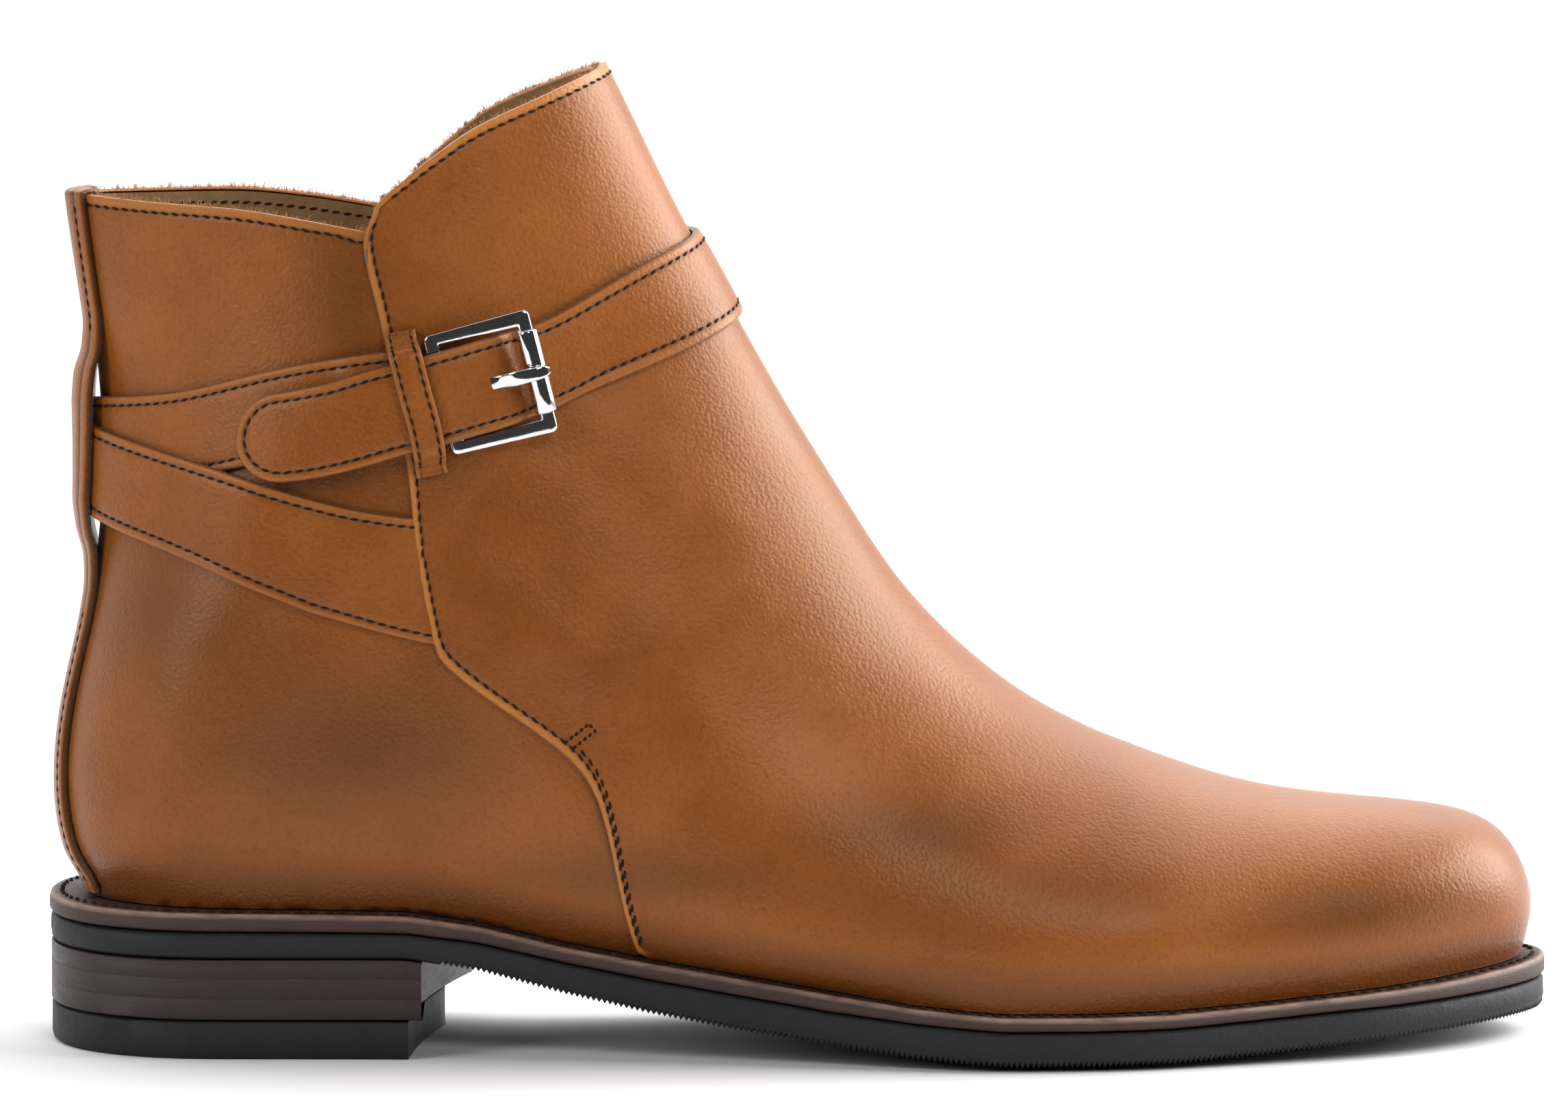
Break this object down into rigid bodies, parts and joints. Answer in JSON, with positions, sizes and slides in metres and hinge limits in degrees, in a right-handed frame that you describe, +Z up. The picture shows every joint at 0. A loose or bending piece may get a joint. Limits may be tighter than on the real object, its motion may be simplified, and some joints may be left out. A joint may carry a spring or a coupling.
{
  "type": "jodhpur boot",
  "caption": "Ankle boot with straps crossed over the ankle into a roller buckle, a stepped front panel, a welted sole and a low stacked heel.",
  "frame": {"origin": "on the floor, under the middle of the heel", "axes": "+X towards the toe, +Y towards the inner side of the foot, +Z up"},
  "size_m": [0.3062, 0.1051, 0.1996],
  "materials": {
    "outsole_rubber": "matt black rubber",
    "welt_leather": "dark brown edge-dressed leather",
    "heel_leather": "dark brown stacked leather",
    "top_piece_rubber": "matt black rubber",
    "tan_calf": "burnished tan calf with a darker patina",
    "strap_calf": "burnished tan calf",
    "insole_leather": "natural leather",
    "plated_steel": "polished plating"
  },
  "bodies": {
    "root": {"outsole": "outsole_rubber", "welt": "welt_leather", "heel_stack": "heel_leather", "heel_top_piece": "top_piece_rubber", "insole": "insole_leather", "upper": "tan_calf", "backstay": "strap_calf", "strap_long": "strap_calf", "strap_buckle": "strap_calf", "keeper": "strap_calf", "buckle_frame": "plated_steel", "buckle_roller": "plated_steel", "buckle_prong": "plated_steel"}
  },
  "joints": []
}
